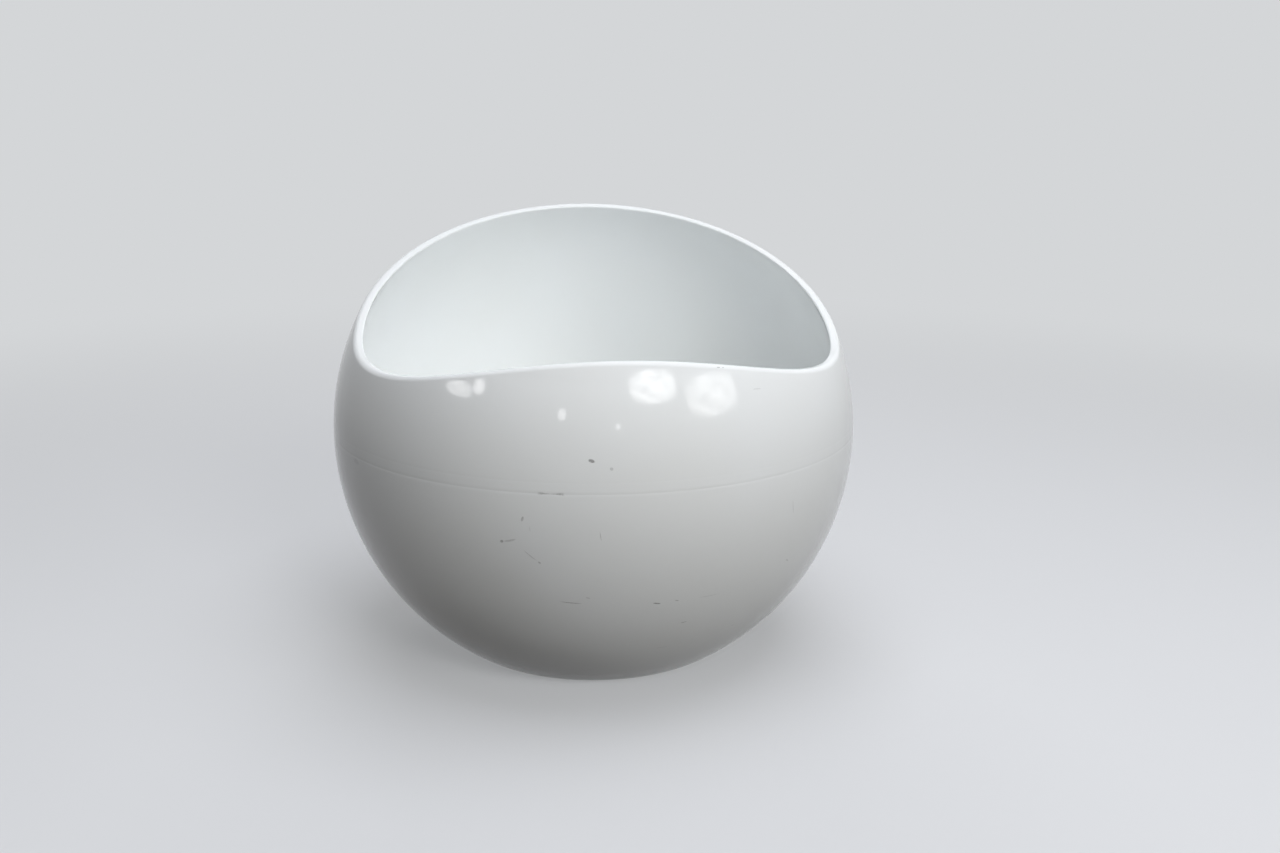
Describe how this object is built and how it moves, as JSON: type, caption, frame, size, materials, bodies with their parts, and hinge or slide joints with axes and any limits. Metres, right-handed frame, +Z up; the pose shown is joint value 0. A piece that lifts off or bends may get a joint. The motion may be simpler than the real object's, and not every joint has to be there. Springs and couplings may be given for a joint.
{
  "type": "pod chair",
  "caption": "Ball-shaped lounge chair: a glossy hard shell cut flat at the floor, with a scooped bucket seat under a rolled rim, resting on low glides.",
  "frame": {"origin": "on the floor plane under the middle of the ball, the bottom centre of the bounding box", "axes": "+Z up; the front of the chair, where a sitter's legs are, faces -Y; +X to the sitter's left"},
  "size_m": [0.5998, 0.5998, 0.4931],
  "materials": {
    "shell_gloss": "high-gloss lacquer over a moulded glass-fibre shell",
    "seam_filler": "polyester filler lacquered over with the shell",
    "laminate": "unpainted glass-fibre laminate",
    "birch_plywood": "sanded birch plywood",
    "felt": "pressed wool felt",
    "zinc_steel": "bright zinc plated steel",
    "insert_brass": "turned brass",
    "glide_plastic": "moulded nylon"
  },
  "bodies": {
    "root": {"lower_shell": "shell_gloss", "upper_shell": "shell_gloss", "seat_shell": "shell_gloss", "seam_filler": "seam_filler", "joint_band": "laminate", "base_plate": "birch_plywood", "base_inserts": "insert_brass", "base_screws": "zinc_steel", "rib_left_right": "birch_plywood", "rib_front_back": "birch_plywood", "rib_pads": "felt", "rib_brackets": "zinc_steel", "bracket_screws": "zinc_steel", "glides": "glide_plastic", "glide_screws": "zinc_steel"}
  },
  "joints": []
}
